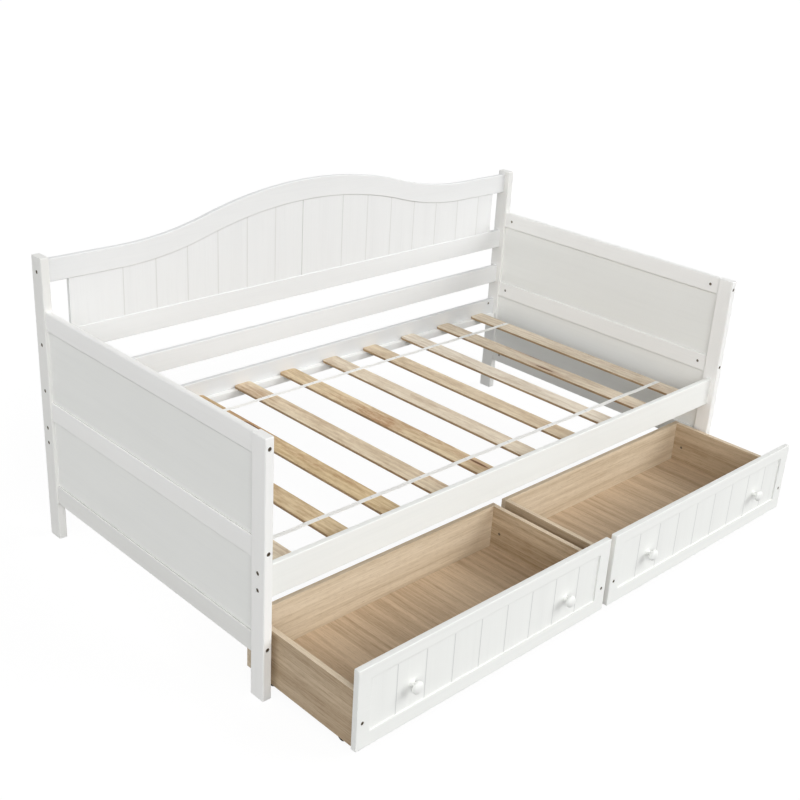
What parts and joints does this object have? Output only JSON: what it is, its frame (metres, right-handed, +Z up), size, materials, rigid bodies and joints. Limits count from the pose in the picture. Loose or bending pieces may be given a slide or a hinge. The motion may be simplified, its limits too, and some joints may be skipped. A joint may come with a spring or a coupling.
{
  "type": "daybed with drawers",
  "caption": "White wooden daybed for a single mattress, with an arched board back, panelled arms and a slatted base over deep drawers that roll out on castors.",
  "frame": {"origin": "on the floor, at the middle of the space that the daybed takes up with its drawers pulled out as in the picture", "axes": "+X along the bed, to the right of somebody who stands in front of it and faces it, +Y towards its back, +Z up"},
  "size_m": [2, 1.4198, 1.004],
  "materials": {
    "white_paint": "white satin paint over wood",
    "pine": "bare planed pine",
    "oak_veneer": "pale oak-look veneer",
    "castor_plastic": "black moulded plastic",
    "slat_tape": "off-white woven tape"
  },
  "bodies": {
    "frame": {"front_left_post": "white_paint", "rear_left_post": "white_paint", "front_right_post": "white_paint", "rear_right_post": "white_paint", "left_arm_top_rail": "white_paint", "left_arm_middle_rail": "white_paint", "left_arm_bottom_rail": "white_paint", "left_arm_lower_panel": "white_paint", "left_arm_upper_panel": "white_paint", "right_arm_top_rail": "white_paint", "right_arm_middle_rail": "white_paint", "right_arm_bottom_rail": "white_paint", "right_arm_lower_panel": "white_paint", "right_arm_upper_panel": "white_paint", "crest_rail": "white_paint", "back_panel": "white_paint", "back_lower_rail": "white_paint", "back_middle_rail": "white_paint", "front_side_rail": "white_paint", "rear_side_rail": "white_paint", "front_slat_ledger": "white_paint", "rear_slat_ledger": "white_paint", "front_slat_tape": "slat_tape", "rear_slat_tape": "slat_tape", "slat_01": "pine", "slat_02": "pine", "slat_03": "pine", "slat_04": "pine", "slat_05": "pine", "slat_06": "pine", "slat_07": "pine", "slat_08": "pine", "slat_09": "pine", "slat_10": "pine"},
    "left_drawer": {"left_drawer_front_frame": "white_paint", "left_drawer_front_panel": "white_paint", "left_drawer_left_side": "oak_veneer", "left_drawer_right_side": "oak_veneer", "left_drawer_back": "oak_veneer", "left_drawer_bottom": "oak_veneer", "left_drawer_left_knob": "white_paint", "left_drawer_right_knob": "white_paint"},
    "right_drawer": {"right_drawer_front_frame": "white_paint", "right_drawer_front_panel": "white_paint", "right_drawer_left_side": "oak_veneer", "right_drawer_right_side": "oak_veneer", "right_drawer_back": "oak_veneer", "right_drawer_bottom": "oak_veneer", "right_drawer_left_knob": "white_paint", "right_drawer_right_knob": "white_paint"},
    "left_drawer_wheel_1": {"left_drawer_front_left_wheel": "castor_plastic"},
    "left_drawer_wheel_2": {"left_drawer_front_right_wheel": "castor_plastic"},
    "left_drawer_wheel_3": {"left_drawer_rear_left_wheel": "castor_plastic"},
    "left_drawer_wheel_4": {"left_drawer_rear_right_wheel": "castor_plastic"},
    "right_drawer_wheel_1": {"right_drawer_front_left_wheel": "castor_plastic"},
    "right_drawer_wheel_2": {"right_drawer_front_right_wheel": "castor_plastic"},
    "right_drawer_wheel_3": {"right_drawer_rear_left_wheel": "castor_plastic"},
    "right_drawer_wheel_4": {"right_drawer_rear_right_wheel": "castor_plastic"}
  },
  "joints": [
    {"name": "left_drawer_slide", "type": "slide", "parent": "frame", "child": "left_drawer", "axis": [0, -1, 0], "range_m": [-0.334, 0.103]},
    {"name": "right_drawer_slide", "type": "slide", "parent": "frame", "child": "right_drawer", "axis": [0, -1, 0], "range_m": [-0.334, 0.103]},
    {"name": "left_drawer_front_left_wheel_spin", "type": "hinge", "parent": "left_drawer", "child": "left_drawer_wheel_1", "pos_m": [-0.9354, -0.6046, 0.016], "axis": [1, 0, 0], "continuous": true},
    {"name": "left_drawer_front_right_wheel_spin", "type": "hinge", "parent": "left_drawer", "child": "left_drawer_wheel_2", "pos_m": [-0.0436, -0.6046, 0.016], "axis": [1, 0, 0], "continuous": true},
    {"name": "left_drawer_rear_left_wheel_spin", "type": "hinge", "parent": "left_drawer", "child": "left_drawer_wheel_3", "pos_m": [-0.9354, -0.3276, 0.016], "axis": [1, 0, 0], "continuous": true},
    {"name": "left_drawer_rear_right_wheel_spin", "type": "hinge", "parent": "left_drawer", "child": "left_drawer_wheel_4", "pos_m": [-0.0436, -0.3276, 0.016], "axis": [1, 0, 0], "continuous": true},
    {"name": "right_drawer_front_left_wheel_spin", "type": "hinge", "parent": "right_drawer", "child": "right_drawer_wheel_1", "pos_m": [0.0436, -0.6046, 0.016], "axis": [1, 0, 0], "continuous": true},
    {"name": "right_drawer_front_right_wheel_spin", "type": "hinge", "parent": "right_drawer", "child": "right_drawer_wheel_2", "pos_m": [0.9354, -0.6046, 0.016], "axis": [1, 0, 0], "continuous": true},
    {"name": "right_drawer_rear_left_wheel_spin", "type": "hinge", "parent": "right_drawer", "child": "right_drawer_wheel_3", "pos_m": [0.0436, -0.3276, 0.016], "axis": [1, 0, 0], "continuous": true},
    {"name": "right_drawer_rear_right_wheel_spin", "type": "hinge", "parent": "right_drawer", "child": "right_drawer_wheel_4", "pos_m": [0.9354, -0.3276, 0.016], "axis": [1, 0, 0], "continuous": true}
  ],
  "couplings": [
    {"joint": "left_drawer_front_left_wheel_spin", "follows": "left_drawer_slide", "rad_per_m": 62.5},
    {"joint": "left_drawer_front_right_wheel_spin", "follows": "left_drawer_slide", "rad_per_m": 62.5},
    {"joint": "left_drawer_rear_left_wheel_spin", "follows": "left_drawer_slide", "rad_per_m": 62.5},
    {"joint": "left_drawer_rear_right_wheel_spin", "follows": "left_drawer_slide", "rad_per_m": 62.5},
    {"joint": "right_drawer_front_left_wheel_spin", "follows": "right_drawer_slide", "rad_per_m": 62.5},
    {"joint": "right_drawer_front_right_wheel_spin", "follows": "right_drawer_slide", "rad_per_m": 62.5},
    {"joint": "right_drawer_rear_left_wheel_spin", "follows": "right_drawer_slide", "rad_per_m": 62.5},
    {"joint": "right_drawer_rear_right_wheel_spin", "follows": "right_drawer_slide", "rad_per_m": 62.5}
  ]
}
